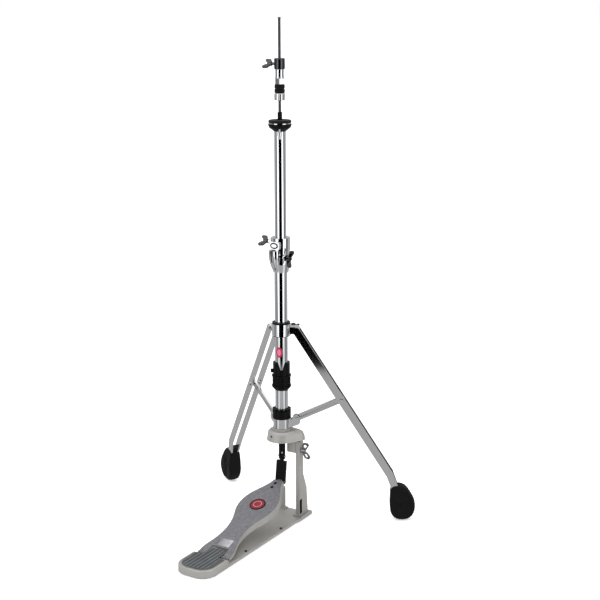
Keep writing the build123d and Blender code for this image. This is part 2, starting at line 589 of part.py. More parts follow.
# ---------------------------------------------------------------- upper tube and memory lock
upper_in = UPPER_R - UPPER_WALL
upper_tube = tube(UPPER_R, upper_in, UPPER_BOTTOM, UPPER_TOP)
lock = tube(LOCK_R, UPPER_R + RUN, CLAMP_TOP + GAP, LOCK_TOP)
badge_lug = Pos(LOCK_R - 2, 0, 0) * Box(12, 25, 17)
badge_lug = fillet(badge_lug.edges().filter_by(Axis.X), 4.0)
lock += place(badge_lug, -92.0, 0, 637.0) - rod(UPPER_R + RUN, 0, 900)
lock_boss = Rot(0, 90, 0) * Cylinder(7.0, 8.0, align=(Align.CENTER, Align.CENTER, Align.MIN))
lock += place(lock_boss, LOCK_WING[0], LOCK_R - 2, LOCK_WING[1])
lock_hole = Rot(0, 90, 0) * Cylinder(3.0, 40, align=(Align.CENTER, Align.CENTER, Align.MIN))
lock -= place(lock_hole, LOCK_WING[0], UPPER_R - 1, LOCK_WING[1])
memory_lock = lock
memory_wing_screw = place(
    wing_screw(19.0, 3.0 - RUN / 2, 30.0, 13.0, roll=55), LOCK_WING[0], UPPER_R + GAP, LOCK_WING[1]
)

# ---------------------------------------------------------------- cymbal seat
cup_profile = Polyline(
    (0, UPPER_TOP - 12), (upper_in, UPPER_TOP - 12), (upper_in, UPPER_TOP), (UPPER_R, UPPER_TOP),
    (SEAT_R - 2, SEAT_TOP - 8), (SEAT_R, SEAT_TOP - 3), (SEAT_R, SEAT_TOP), (0, SEAT_TOP),
    close=True,
)
cup = revolve(Plane.XZ * make_face(cup_profile), Axis.Z) - rod(SLEEVE_ROOT_R, 0, 2000)
tilter_x = TILTER[1] * math.cos(math.radians(TILTER[0]))
tilter_y = TILTER[1] * math.sin(math.radians(TILTER[0]))
tilter_r = 2.0
seat_cup = cup - Pos(tilter_x, tilter_y, 0) * rod(tilter_r + RUN, 800, 950)
seat_sleeve = tube(SLEEVE_ROOT_R, ROD_R + 0.6, UPPER_TOP - 10, SLEEVE_STEP) + tube(
    SLEEVE_R, ROD_R + 0.6, SLEEVE_STEP, SLEEVE_TOP
)
washer_z = SEAT_TOP + GAP
washer_t = 1.6
seat_washer = tube(SEAT_R - 1, 7.5, washer_z, washer_z + washer_t)
felt = tube(SEAT_R - 0.5, 7.5, washer_z + washer_t, washer_z + washer_t + FELT_T)
seat_felt = fillet(felt.edges().filter_by(GeomType.CIRCLE).sort_by(SortBy.RADIUS)[-2:], 1.5)
tilter = rod(tilter_r, 868, SEAT_TOP - 0.1) + rod(4.6, 873, 881) + rod(3.6, 866, 873)
tilter_screw = Pos(tilter_x, tilter_y, 0) * tilter

# ---------------------------------------------------------------- clutch
clutch_bore = ROD_R + RUN
clutch = tube(CLUTCH_R, clutch_bore, CLUTCH_WAIST, CLUTCH_TOP)
clutch = chamfer(clutch.edges().filter_by(GeomType.CIRCLE).sort_by(SortBy.RADIUS)[-2:], 1.2)
clutch += tube(CLUTCH_R - 2.2, clutch_bore, CLUTCH_FLANGE, CLUTCH_WAIST)
clutch += tube(CLUTCH_R - 1, clutch_bore, CLUTCH_FLANGE, CLUTCH_FLANGE + 2)
clutch_hole = Rot(0, 90, 0) * Cylinder(3.0, 30, align=(Align.CENTER, Align.CENTER, Align.MIN))
clutch_body = clutch - place(clutch_hole, CLUTCH_WING[0], 0, CLUTCH_WING[1])
clutch_wing_bolt = place(
    wing_screw(15.0, 3.0 - RUN / 2, 28.0, 13.0, roll=55), CLUTCH_WING[0], ROD_R + GAP, CLUTCH_WING[1]
)
stem = tube(STEM_R, clutch_bore, STEM_BOTTOM, CLUTCH_FLANGE)
stem += Pos(0, 0, FELTS_TOP) * extrude(RegularPolygon(10.5, 6) - Circle(clutch_bore), amount=CLUTCH_FLANGE - FELTS_TOP)
clutch_stem = stem
felt_t = (FELTS_TOP - NUT_TOP - 3 * GAP) / 2
felt_disc = tube(11.0, STEM_R, 0, felt_t)
clutch_felts = Compound([
    Pos(0, 0, NUT_TOP + GAP) * felt_disc,
    Pos(0, 0, NUT_TOP + 2 * GAP + felt_t) * felt_disc,
])
nut = tube(12.0, STEM_R + RUN, NUT_BOTTOM, NUT_TOP)
nut = chamfer(nut.edges().filter_by(GeomType.CIRCLE).sort_by(SortBy.RADIUS)[-2:], 1.0)
groove = Pos(12.6, 0, NUT_BOTTOM - 1) * Cylinder(1.4, 20, align=(Align.CENTER, Align.CENTER, Align.MIN))
clutch_lower_nut = nut - [Rot(0, 0, i * 30) * groove for i in range(12)]

# ---------------------------------------------------------------- write every node
nodes = {
    "base_plate": base_plate,
    "base_pad": base_pad,
    "plate_screws": plate_screws,
    "plate_upright": plate_upright,
    "heel_plate": heel_plate,
    "heel_pad": heel_pad,
    "heel_pin": heel_pin,
    "footboard": footboard,
    "board_badge": board_badge,
    "toe_pin": toe_pin,
    "link_strap": link_strap,
    "rod_clevis": rod_clevis,
    "clevis_pin": clevis_pin,
    "post": post,
    "post_wing_screw": post_wing_screw,
    "head_casting": head_casting,
    "head_set_screw": head_set_screw,
    "lower_tube": lower_tube,
    "clamp_bush": clamp_bush,
    "height_clamp": height_clamp,
    "clamp_wing_screw": clamp_wing_screw,
    "tension_dial": tension_dial,
    "tension_collar": tension_collar,
    "spring_seat": spring_seat,
    "pull_spring": pull_spring,
    "lower_rod": lower_rod,
    "pull_rod": pull_rod,
    "rod_coupler": rod_coupler,
    "index_ring": index_ring,
    "leg_hub": leg_hub,
    "hub_rivets": hub_rivets,
    "leg_collar": leg_collar,
    "collar_rivets": collar_rivets,
    "collar_insert": collar_insert,
    "collar_wing_screw": collar_wing_screw,
    "upper_tube": upper_tube,
    "memory_lock": memory_lock,
    "memory_wing_screw": memory_wing_screw,
    "seat_cup": seat_cup,
    "seat_sleeve": seat_sleeve,
    "seat_washer": seat_washer,
    "seat_felt": seat_felt,
    "tilter_screw": tilter_screw,
    "clutch_body": clutch_body,
    "clutch_wing_bolt": clutch_wing_bolt,
    "clutch_stem": clutch_stem,
    "clutch_felts": clutch_felts,
    "clutch_lower_nut": clutch_lower_nut,
    **legs,
}
for name, shape in nodes.items():
    save(shape, name)
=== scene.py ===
import json
import math

import bmesh
import bpy
from mathutils import Matrix, Vector

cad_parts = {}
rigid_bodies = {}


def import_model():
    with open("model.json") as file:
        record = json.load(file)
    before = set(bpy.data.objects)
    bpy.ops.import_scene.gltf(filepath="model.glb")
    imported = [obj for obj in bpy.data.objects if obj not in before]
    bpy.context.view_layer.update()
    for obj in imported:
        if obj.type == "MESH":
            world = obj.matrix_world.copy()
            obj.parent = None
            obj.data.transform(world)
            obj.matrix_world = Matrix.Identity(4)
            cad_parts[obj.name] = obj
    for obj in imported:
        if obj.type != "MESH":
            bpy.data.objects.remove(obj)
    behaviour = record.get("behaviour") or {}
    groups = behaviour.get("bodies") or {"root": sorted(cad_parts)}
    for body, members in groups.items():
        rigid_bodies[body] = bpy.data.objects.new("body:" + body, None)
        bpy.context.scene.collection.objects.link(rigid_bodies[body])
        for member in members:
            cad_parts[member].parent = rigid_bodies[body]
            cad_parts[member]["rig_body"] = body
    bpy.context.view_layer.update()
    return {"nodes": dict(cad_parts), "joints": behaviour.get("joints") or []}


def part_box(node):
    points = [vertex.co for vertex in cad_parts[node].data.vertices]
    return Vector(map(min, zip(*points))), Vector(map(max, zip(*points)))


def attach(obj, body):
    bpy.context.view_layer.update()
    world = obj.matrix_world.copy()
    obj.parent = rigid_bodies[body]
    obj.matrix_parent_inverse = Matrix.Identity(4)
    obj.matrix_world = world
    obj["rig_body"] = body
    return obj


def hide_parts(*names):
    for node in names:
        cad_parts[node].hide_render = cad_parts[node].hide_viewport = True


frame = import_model()
nodes = frame["nodes"]
joints = {joint["name"]: joint for joint in frame["joints"]}
MM = 0.001

# ---------------------------------------------------------------------------------------------------
# Base plate, post, back upright, heel plate and casting head: die-cast aluminium, sprayed with a
# warm grey satin lacquer. Cast edges are never sharp, so each piece is shown as a merged copy of
# its CAD node with its edges rounded by a millimetre or so.


def srgb(hex_colour):
    """Linear RGBA of an sRGB hex colour."""
    channels = [int(hex_colour[i : i + 2], 16) / 255 for i in (1, 3, 5)]
    return [c / 12.92 if c <= 0.04045 else ((c + 0.055) / 1.055) ** 2.4 for c in channels] + [1.0]


def add_node(tree, kind, inputs=(), **settings):
    """Adds one node. inputs maps a socket's name or number to a value or to another node's output."""
    made = tree.nodes.new(kind)
    for key, value in settings.items():
        setattr(made, key, value)
    for key, value in dict(inputs).items():
        if isinstance(value, bpy.types.NodeSocket):
            tree.links.new(value, made.inputs[key])
        else:
            made.inputs[key].default_value = value
    return made


def new_material(name, **shader_inputs):
    """A material with one Principled shader: returns it, its tree, the shader and object coordinates."""
    material = bpy.data.materials.new(name)
    material.use_nodes = True
    tree = material.node_tree
    tree.nodes.clear()
    shader = add_node(tree, "ShaderNodeBsdfPrincipled")
    for key, value in shader_inputs.items():
        shader.inputs[key.replace("_", " ")].default_value = value
    output = add_node(tree, "ShaderNodeOutputMaterial")
    tree.links.new(shader.outputs[0], output.inputs[0])
    place = add_node(tree, "ShaderNodeTexCoord").outputs["Object"]
    return material, tree, shader, place


def mottle(tree, shader, pattern, dark, light, smooth=None, rough=None):
    """Lets a pattern run the colour from dark to light and, where given, the gloss from smooth to rough."""
    ramp = add_node(tree, "ShaderNodeValToRGB", {"Fac": pattern})
    ramp.color_ramp.elements[0].color = srgb(dark)
    ramp.color_ramp.elements[1].color = srgb(light)
    tree.links.new(ramp.outputs["Color"], shader.inputs["Base Color"])
    if smooth is not None:
        gloss = add_node(tree, "ShaderNodeMapRange", {"Value": pattern, "To Min": smooth, "To Max": rough})
        tree.links.new(gloss.outputs["Result"], shader.inputs["Roughness"])


def cast_lacquer():
    """Sprayed lacquer on a die casting: faint orange peel, slightly uneven tone and gloss."""
    material, tree, shader, place = new_material("sprayed_die_casting", Metallic=0.35)
    cloud = add_node(tree, "ShaderNodeTexNoise", {"Vector": place, "Scale": 22.0, "Detail": 4.0})
    peel = add_node(tree, "ShaderNodeTexNoise", {"Vector": place, "Scale": 700.0, "Detail": 2.0})
    mottle(tree, shader, cloud.outputs["Fac"], "#94928f", "#aaa8a4", 0.36, 0.50)
    bump = add_node(
        tree, "ShaderNodeBump", {"Height": peel.outputs["Fac"], "Strength": 0.12, "Distance": 0.0004}
    )
    tree.links.new(bump.outputs["Normal"], shader.inputs["Normal"])
    return material


def put_in_scene(name, data):
    """Adds an object that holds the given mesh, curve, light or camera."""
    made = bpy.data.objects.new(name, data)
    bpy.context.scene.collection.objects.link(made)
    return made


def merged_copy(node, name):
    """A copy of a CAD node with its loose triangles joined along shared edges."""
    mesh = nodes[node].data.copy()
    mesh.materials.clear()
    work = bmesh.new()
    work.from_mesh(mesh)
    bmesh.ops.remove_doubles(work, verts=work.verts, dist=0.00001)
    bmesh.ops.dissolve_degenerate(work, edges=work.edges, dist=0.00001)
    work.to_mesh(mesh)
    work.free()
    return put_in_scene(name, mesh)


def settle(obj):
    """Turns an object with its modifiers into a plain mesh."""
    bpy.context.view_layer.update()
    final = bpy.data.meshes.new_from_object(obj.evaluated_get(bpy.context.evaluated_depsgraph_get()))
    obj.modifiers.clear()
    obj.data = final


def softened(node, radius, material, angle=32.0, segments=2):
    """Shows a CAD node as a merged copy with rounded edges."""
    piece = merged_copy(node, node + "_finish")
    bevel = piece.modifiers.new("edges", "BEVEL")
    bevel.width = radius
    bevel.segments = segments
    bevel.limit_method = "ANGLE"
    bevel.angle_limit = math.radians(angle)
    settle(piece)
    piece.data.materials.clear()
    piece.data.materials.append(material)
    piece.data.shade_smooth()
    piece.data.set_sharp_from_angle(angle=math.radians(38))
    # large faces keep their own normals, so that flat sides reflect as flat
    weighted = piece.modifiers.new("normals", "WEIGHTED_NORMAL")
    weighted.keep_sharp = True
    weighted.weight = 80
    settle(piece)
    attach(piece, nodes[node]["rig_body"])
    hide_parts(node)
    return piece


def finish_with(material, *names):
    """Gives CAD nodes a material and leaves their shape alone."""
    for name in names:
        data = nodes[name].data
        data.materials.clear()
        data.materials.append(material)


casting = cast_lacquer()
for cast_node, cast_edge in (
    ("base_plate", 0.8),
    ("plate_upright", 1.0),
    ("post", 1.0),
    ("heel_plate", 0.8),
    ("head_casting", 1.2),
):
    softened(cast_node, cast_edge * MM, casting)

# ---------------------------------------------------------------------------------------------------
# Rubber sheet under the base and the ribbed pad on the heel plate: black and dark grey moulded
# nitrile rubber, matt, with a fine grain from the mould.


def moulded_rubber(name, dark, light, rough):
    """Moulded rubber: matt, with a fine mould grain and a slightly dusty tone."""
    material, tree, shader, place = new_material(name, Roughness=rough, Specular_IOR_Level=0.12)
    grain = add_node(tree, "ShaderNodeTexNoise", {"Vector": place, "Scale": 900.0, "Detail": 3.0})
    dust = add_node(tree, "ShaderNodeTexNoise", {"Vector": place, "Scale": 40.0, "Detail": 5.0})
    mottle(tree, shader, dust.outputs["Fac"], dark, light)
    bump = add_node(
        tree, "ShaderNodeBump", {"Height": grain.outputs["Fac"], "Strength": 0.25, "Distance": 0.0003}
    )
    tree.links.new(bump.outputs["Normal"], shader.inputs["Normal"])
    return material


black_rubber = moulded_rubber("black_rubber", "#060607", "#121214", 0.55)
pad_rubber = moulded_rubber("grey_pad_rubber", "#4c4f50", "#6b6e70", 0.5)
finish_with(black_rubber, "base_pad")
softened("heel_pad", 0.35 * MM, pad_rubber)

# ---------------------------------------------------------------------------------------------------
# Footboard: a die casting with a hollow underside. Its top is sprayed with a dark textured grey
# that grips a shoe, and its skirt is left a lighter, smoother metal; its rounded rim is given painted shade.

board_tilt = math.radians(17.5)
board_up = Vector((0, -math.sin(board_tilt), math.cos(board_tilt)))
hinge = Vector(joints["pedal_press"]["pos_m"])

# how squarely a face looks up from the board: the flat top, its rounded rim, and the scoop's floor
TOP_FACING = 0.97
RIM_FACING = 0.25
SCOOP_FACING = 0.6
SCOOP_START = 20 * MM
SCOOP_END = 75 * MM
SCOOP_HALF_WIDTH = 16.9 * MM
SCOOP_RISE = 1.42 * MM


def board_grip():
    """Textured spray coat: close rounded grains about a millimetre across."""
    material, tree, shader, place = new_material("textured_board_top", Roughness=0.5, Metallic=0.3)
    grains = add_node(tree, "ShaderNodeTexVoronoi", {"Vector": place, "Scale": 900.0, "Randomness": 0.9})
    cloud = add_node(
        tree, "ShaderNodeTexNoise", {"Vector": place, "Scale": 160.0, "Detail": 6.0, "Roughness": 0.7}
    )
    mottle(tree, shader, cloud.outputs["Fac"], "#3a3a3e", "#8e8e93")
    bump = add_node(
        tree, "ShaderNodeBump", {"Height": grains.outputs["Distance"], "Strength": 0.35, "Distance": 0.0004}
    )
    tree.links.new(bump.outputs["Normal"], shader.inputs["Normal"])
    return material


board = softened("footboard", 1.7 * MM, board_grip(), angle=30.0)


def board_rim_shade():
    """A dark line of painted shade, patchy at random, on the rounded rim between the textured top and the
    smooth skirt.
    """
    material, tree, shader, place = new_material("painted_shade_board_rim", Metallic=0.4)
    rim_shade_patches = add_node(tree, "ShaderNodeTexNoise", {"Vector": place, "Scale": 90.0, "Detail": 4.0})
    mottle(tree, shader, rim_shade_patches.outputs["Fac"], "#1c1c1e", "#77767a", 0.3, 0.5)
    return material


def scoop_spray():
    """Smooth grey spray in the scoop by the heel pad, ramped to near white towards the board's +X side and
    broken up at random: a painted highlight.
    """
    material, tree, shader, place = new_material("smooth_scoop", Metallic=0.3, Roughness=0.35)
    axes = add_node(tree, "ShaderNodeSeparateXYZ", {"Vector": place})
    patchy = add_node(tree, "ShaderNodeTexNoise", {"Vector": place, "Scale": 70.0, "Detail": 3.0})
    # the colour grows paler across the board towards +X: painted highlight
    across_board = add_node(
        tree, "ShaderNodeMapRange", {"Value": axes.outputs["X"], "From Min": -17 * MM, "From Max": 14 * MM}
    )
    painted_highlight = add_node(
        tree, "ShaderNodeMath",
        {0: across_board.outputs["Result"], 1: patchy.outputs["Fac"]}, operation="MULTIPLY",
    )
    mottle(tree, shader, painted_highlight.outputs[0], "#6c6c70", "#e9e9ec")
    return material


board.data.materials.append(casting)
board.data.materials.append(board_rim_shade())
board.data.materials.append(scoop_spray())
GRIP, SKIRT, EDGE, SCOOP = range(4)
for face in board.data.polygons:
    facing = face.normal.dot(board_up)
    # rim faces between the flat top and the skirt get the dark rim material: painted shade where the edge
    # turns away from the light
    face.material_index = GRIP if facing > TOP_FACING else EDGE if facing > RIM_FACING else SKIRT
    # the scoop in front of the heel pad is left smooth
    from_hinge = face.center - hinge
    in_scoop = SCOOP_START < from_hinge.y < SCOOP_END and abs(face.center.x) < SCOOP_HALF_WIDTH
    if facing > SCOOP_FACING and in_scoop and from_hinge.dot(board_up) < SCOOP_RISE:
        face.material_index = SCOOP


def bright_chrome(name, tone, smooth, rough):
    """Polished chrome plate: nearly a mirror, with a faint drift in its gloss."""
    material, tree, shader, place = new_material(name, Metallic=1.0)
    drift = add_node(tree, "ShaderNodeTexNoise", {"Vector": place, "Scale": 35.0, "Detail": 3.0})
    mottle(tree, shader, drift.outputs["Fac"], tone, tone, smooth, rough)
    return material


chrome = bright_chrome("polished_chrome", "#d9dadc", 0.03, 0.09)
finish_with(chrome, "heel_pin", "toe_pin", "clevis_pin")


# Round badge let into the board: a domed disc of translucent red enamel in a thin dark metal rim.
def cloudy_enamel(name, dark, light):
    """Enamel or lacquered foil: slightly cloudy colour under a thin clear coat."""
    material, tree, shader, place = new_material(
        name, Roughness=0.35, Specular_IOR_Level=0.2, Coat_Weight=0.15, Coat_Roughness=0.08
    )
    cloud = add_node(tree, "ShaderNodeTexNoise", {"Vector": place, "Scale": 160.0, "Detail": 3.0})
    mottle(tree, shader, cloud.outputs["Fac"], dark, light)
    return material


enamel = cloudy_enamel("red_enamel", "#6d0f1a", "#8c1a27")
badge_low, badge_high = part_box("board_badge")
badge_centre = (badge_low + badge_high) / 2
badge_radius = (badge_high.x - badge_low.x) / 2
badge_frame = Matrix.Translation(badge_centre) @ Matrix.Rotation(board_tilt, 4, "X")


def turned(name, profile, place, steps=64):
    """Solid of revolution from (radius, height) points, closed at both ends, set in place."""
    work = bmesh.new()
    rings = []
    for radius, height in profile:
        if radius < 1e-7:
            rings.append([work.verts.new((0, 0, height))])
            continue
        ring = []
        for i in range(steps):
            turn = 2 * math.pi * i / steps
            ring.append(work.verts.new((radius * math.cos(turn), radius * math.sin(turn), height)))
        rings.append(ring)
    for low, high in zip(rings, rings[1:]):
        for i in range(steps):
            j = (i + 1) % steps
            corners = [low[i % len(low)], low[j % len(low)], high[j % len(high)], high[i % len(high)]]
            corners = list(dict.fromkeys(corners))
            if len(corners) > 2:
                work.faces.new(corners)
    bmesh.ops.recalc_face_normals(work, faces=work.faces)
    mesh = bpy.data.meshes.new(name)
    work.to_mesh(mesh)
    work.free()
    mesh.transform(place)
    mesh.shade_smooth()
    mesh.set_sharp_from_angle(angle=math.radians(40))
    return put_in_scene(name, mesh)


BADGE_FOOT = -0.9 * MM
DOME_FOOT = 0.1 * MM
DOME_RISE = 0.8 * MM
DOME_STEPS = 8
dome_radius = badge_radius - 2.2 * MM
dome = [(0, BADGE_FOOT), (dome_radius, BADGE_FOOT)]
for step in range(DOME_STEPS):
    climb = step / DOME_STEPS * math.pi / 2
    dome.append((dome_radius * math.cos(climb), DOME_FOOT + DOME_RISE * math.sin(climb)))
dome.append((0, DOME_FOOT + DOME_RISE))
badge = turned("board_badge_enamel", dome, badge_frame)
badge.data.materials.append(enamel)
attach(badge, "footboard")
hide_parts("board_badge")
rim_bore = badge_radius - 2.3 * MM
rim = [
    (rim_bore, BADGE_FOOT),
    (badge_radius, BADGE_FOOT),
    (badge_radius, 0.4 * MM),
    (badge_radius - 0.5 * MM, 0.9 * MM),
    (badge_radius - 1.6 * MM, 0.9 * MM),
    (rim_bore, 0.3 * MM),
    (rim_bore, BADGE_FOOT),
]


def black_oxide():
    """Blackened steel: dark, with a dull metallic sheen."""
    material, tree, shader, place = new_material("black_oxide_steel", Metallic=0.2, Specular_IOR_Level=0.15)
    cloud = add_node(tree, "ShaderNodeTexNoise", {"Vector": place, "Scale": 90.0, "Detail": 4.0})
    mottle(tree, shader, cloud.outputs["Fac"], "#060607", "#0f0f11", 0.32, 0.5)
    return material


blackened = black_oxide()
# a pale enamel ring on the dome: radius and height (mm)
band = [(8.2, 0.55), (8.6, 0.95), (9.8, 0.95), (10.2, 0.55), (10.2, -0.6), (8.2, -0.6), (8.2, 0.55)]
badge_band = turned("board_badge_band", [(r * MM, z * MM) for r, z in band], badge_frame)
badge_band.data.materials.append(cloudy_enamel("pink_enamel", "#b8737b", "#cf8f95"))
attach(badge_band, "footboard")
badge_rim = turned("board_badge_rim", rim, badge_frame)
badge_rim.data.materials.append(blackened)
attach(badge_rim, "footboard")
finish_with(blackened, "plate_screws", "head_set_screw", "spring_seat", "rod_coupler")

# Two black button-head socket screws sit in the holes near the board's toe.
TOE_SCREWS_ALONG = (243.5 * MM, 258.5 * MM)
TOE_SCREWS_ASIDE = -2 * MM
BOARD_TOP = 1.5 * MM
# socket, head and shank from the middle out: radius and height (mm)
SCREW_OUTLINE = [
    (0, -1.4), (1.3, -1.4), (1.3, 0.5), (3.4, 0.5), (4.0, 0.1),
    (4.0, -0.3), (2.3, -0.4), (2.3, -3.6), (0, -3.6),
]
board_frame = Matrix.Translation(hinge) @ Matrix.Rotation(board_tilt, 4, "X")
for number, along in enumerate(TOE_SCREWS_ALONG):
    spot = board_frame @ Matrix.Translation((TOE_SCREWS_ASIDE, along, BOARD_TOP))
    toe_screw = turned(f"toe_screw_{number}", [(r * MM, z * MM) for r, z in SCREW_OUTLINE], spot, 32)
    toe_screw.data.materials.append(blackened)
    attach(toe_screw, "footboard")

# ---------------------------------------------------------------------------------------------------
# Strap and clevis: the strap is a moulded black nylon link that hooks the board's toe to the rod. The
# clevis is a blackened steel fork screwed on the rod's lower end.


def moulded_plastic(name, dark, light, rough):
    """Moulded nylon or ABS: a light satin skin with the grain of the mould."""
    material, tree, shader, place = new_material(name, Specular_IOR_Level=0.12)
    grain = add_node(tree, "ShaderNodeTexNoise", {"Vector": place, "Scale": 600.0, "Detail": 2.0})
    cloud = add_node(tree, "ShaderNodeTexNoise", {"Vector": place, "Scale": 60.0, "Detail": 3.0})
    mottle(tree, shader, cloud.outputs["Fac"], dark, light, rough - 0.05, rough + 0.08)
    bump = add_node(
        tree, "ShaderNodeBump", {"Height": grain.outputs["Fac"], "Strength": 0.15, "Distance": 0.0002}
    )
    tree.links.new(bump.outputs["Normal"], shader.inputs["Normal"])
    return material


black_plastic = moulded_plastic("black_nylon", "#030303", "#0b0b0c", 0.36)
softened("link_strap", 1.0 * MM, black_plastic)
softened("rod_clevis", 0.6 * MM, blackened)

# ---------------------------------------------------------------------------------------------------
# Tubes, rod and spring: drawn steel tube, polished and chrome plated; the pull rod is bright ground
# bar and the spring oiled wire.


def ground_steel(name, dark, light, smooth, rough):
    """Rolled or drawn steel with a thin bright plate: smooth, with a slow drift in tone and gloss."""
    material, tree, shader, place = new_material(name, Metallic=1.0)
    drift = add_node(tree, "ShaderNodeTexNoise", {"Vector": place, "Scale": 25.0, "Detail": 3.0})
    mottle(tree, shader, drift.outputs["Fac"], dark, light, smooth, rough)
    return material


satin_steel = ground_steel("plated_flat_steel", "#d3d3d4", "#dcdcdd", 0.05, 0.10)
finish_with(chrome, "lower_tube", "upper_tube")
oiled_rod = ground_steel("ground_rod", "#4b4c4f", "#5d5e61", 0.12, 0.22)
finish_with(oiled_rod, "pull_rod", "lower_rod", "pull_spring")
finish_with(black_plastic, "clamp_bush")

# Label on the lower tube: a plain red oval foil with a paler middle, curved round the tube.
LABEL_TURN = math.radians(-79)
LABEL_HEIGHT = 396 * MM
GLUE = 0.01 * MM
tube_low, tube_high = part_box("lower_tube")
tube_radius = (tube_high.x - tube_low.x) / 2


def foil_oval(name, half_height, half_turn, lift, material, steps=48, rings=8):
    """A thin closed oval of foil bent round the tube, lifted off it by the given amount."""
    work = bmesh.new()
    skins = []
    for skin in (0, 1):
        reach = tube_radius + (lift if skin else GLUE)
        sheet = []
        for number in range(rings + 1):
            share = number / rings
            ring = []
            for i in range(steps if number else 1):
                turn = 2 * math.pi * i / steps
                around = LABEL_TURN + half_turn * share * math.cos(turn)
                up = LABEL_HEIGHT + half_height * share * math.sin(turn)
                ring.append(work.verts.new((reach * math.cos(around), reach * math.sin(around), up)))
            sheet.append(ring)
        for low, high in zip(sheet, sheet[1:]):
            for i in range(steps):
                j = (i + 1) % steps
                corners = list(dict.fromkeys([low[i % len(low)], high[i], high[j], low[j % len(low)]]))
                work.faces.new(corners if skin else list(reversed(corners)))
        skins.append(sheet[-1])
    for i in range(steps):
        j = (i + 1) % steps
        work.faces.new((skins[0][i], skins[0][j], skins[1][j], skins[1][i]))
    bmesh.ops.recalc_face_normals(work, faces=work.faces)
    data = bpy.data.meshes.new(name)
    work.to_mesh(data)
    work.free()
    data.shade_smooth()
    data.set_sharp_from_angle(angle=math.radians(40))
    data.materials.append(material)
    foil = put_in_scene(name, data)
    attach(foil, "pedal_frame")
    return foil


red_foil = cloudy_enamel("red_label_foil", "#94163f", "#b32d55")
pale_foil = cloudy_enamel("pale_label_foil", "#b05f78", "#c87f95")
foil_oval("tube_label", 12 * MM, math.radians(33), 0.1 * MM, red_foil)
foil_oval("tube_label_middle", 7.5 * MM, math.radians(17), 0.17 * MM, pale_foil)

# ---------------------------------------------------------------------------------------------------
# Tension adjuster and index ring: glass-filled black nylon mouldings round the tube. The dial turns
# under its crown collar and lifts the spring's seat.

finish_with(black_plastic, "tension_collar", "index_ring", "collar_insert")
softened("tension_dial", 0.4 * MM, black_plastic)

# ---------------------------------------------------------------------------------------------------
# Hub, collar, clamp and memory lock: zinc die castings round the tubes, polished and chrome plated.
# The clamp has a sawn split that its screw pulls shut, and the lock carries a small oval badge plate.

for plated_node, plated_edge in (("leg_hub", 0.8), ("leg_collar", 0.8), ("memory_lock", 0.9)):
    softened(plated_node, plated_edge * MM, chrome)
clamp_shell = softened("height_clamp", 1.2 * MM, chrome, segments=3)


def paint_inside(piece, material, inside):
    """Gives the faces whose middles pass a test another material."""
    piece.data.materials.append(material)
    index = len(piece.data.materials) - 1
    for face in piece.data.polygons:
        if inside(face.center, face.normal):
            face.material_index = index


# the faces inside the sawn split in the clamp are painted black: painted shade in the narrow gap
SLIT_HALF = 1.9 * MM
SLIT_FROM = 12 * MM
SLIT_TOP = 624 * MM
SQUARELY = 0.8
slit_turn = math.radians(-105)
slit_out = Vector((math.cos(slit_turn), math.sin(slit_turn), 0))
slit_side = Vector((-slit_out.y, slit_out.x, 0))
paint_inside(
    clamp_shell, blackened,
    lambda middle, normal: abs(middle.dot(slit_side)) < SLIT_HALF and middle.dot(slit_out) > SLIT_FROM
    and (abs(normal.dot(slit_side)) > SQUARELY or normal.z > SQUARELY) and middle.z < SLIT_TOP,
)

# the faces inside the slot in the post's foot are painted black: painted shade in the slot
SLOT_LOW = Vector((34.5, 10.9, 13.5)) * MM
SLOT_HIGH = Vector((39.9, 20.1, 48.5)) * MM
paint_inside(
    bpy.data.objects["post_finish"], blackened,
    lambda middle, normal: all(low < at < high for low, at, high in zip(SLOT_LOW, middle, SLOT_HIGH)),
)

# the sides and end of the heel plate's tongue lie in a black shadow gap
TONGUE_HALF = 21 * MM
TONGUE_FOOT = 14 * MM
TONGUE_BACK = -279 * MM
paint_inside(
    bpy.data.objects["heel_plate_finish"], blackened,
    lambda middle, normal: middle.z > TONGUE_FOOT and abs(middle.x) < TONGUE_HALF
    and (normal.y > 0.3 or abs(normal.x) > 0.5) and middle.y > TONGUE_BACK,
)

# Badge plate on the memory lock: a white lacquered face with a plain oval ring in black.
PLATE_HEIGHT = 637 * MM
PLATE_FACE_FROM = 22.5 * MM
plate_turn = math.radians(-92)
plate_facing = Vector((math.cos(plate_turn), math.sin(plate_turn), 0))
lock_front = -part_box("memory_lock")[0].y
plate_out = lock_front + 0.05 * MM
plate_place = Matrix.Rotation(plate_turn, 4, "Z") @ Matrix.Translation((plate_out, 0, PLATE_HEIGHT))
plate_place = plate_place @ Matrix.Rotation(math.pi / 2, 4, "Y") @ Matrix.Rotation(math.pi / 2, 4, "Z")


def oval_plate(name, wide, tall, band, thick, place, steps=64):
    """Oval plate with a softly chamfered edge and an inner outline one band in from it."""
    work = bmesh.new()
    chamfered = 1.0 - 0.25 * band / tall
    levels = [(1.0, 0.0), (1.0, thick * 0.7), (chamfered, thick), (1.0 - 2 * band / tall, thick)]
    rings = []
    for share, height in levels:
        ring = []
        for i in range(steps):
            turn = 2 * math.pi * i / steps
            inset = (1 - share) * tall / 2
            ring.append(work.verts.new((
                (wide / 2 - inset) * math.cos(turn), (tall / 2 - inset) * math.sin(turn), height)))
        rings.append(ring)
    for first, second in zip(rings, rings[1:]):
        for i in range(steps):
            j = (i + 1) % steps
            work.faces.new((first[i], first[j], second[j], second[i]))
    work.faces.new(list(reversed(rings[0])))
    work.faces.new(rings[-1])
    bmesh.ops.recalc_face_normals(work, faces=work.faces)
    data = bpy.data.meshes.new(name)
    work.to_mesh(data)
    work.free()
    data.transform(place)
    return put_in_scene(name, data)


def white_lacquer():
    """Sprayed white lacquer: smooth and glossy, with the slightest drift in tone."""
    material, tree, shader, place = new_material("white_lacquer", Roughness=0.25)
    cloud = add_node(tree, "ShaderNodeTexNoise", {"Vector": place, "Scale": 200.0, "Detail": 2.0})
    mottle(tree, shader, cloud.outputs["Fac"], "#e4e4e3", "#f2f2f1")
    return material


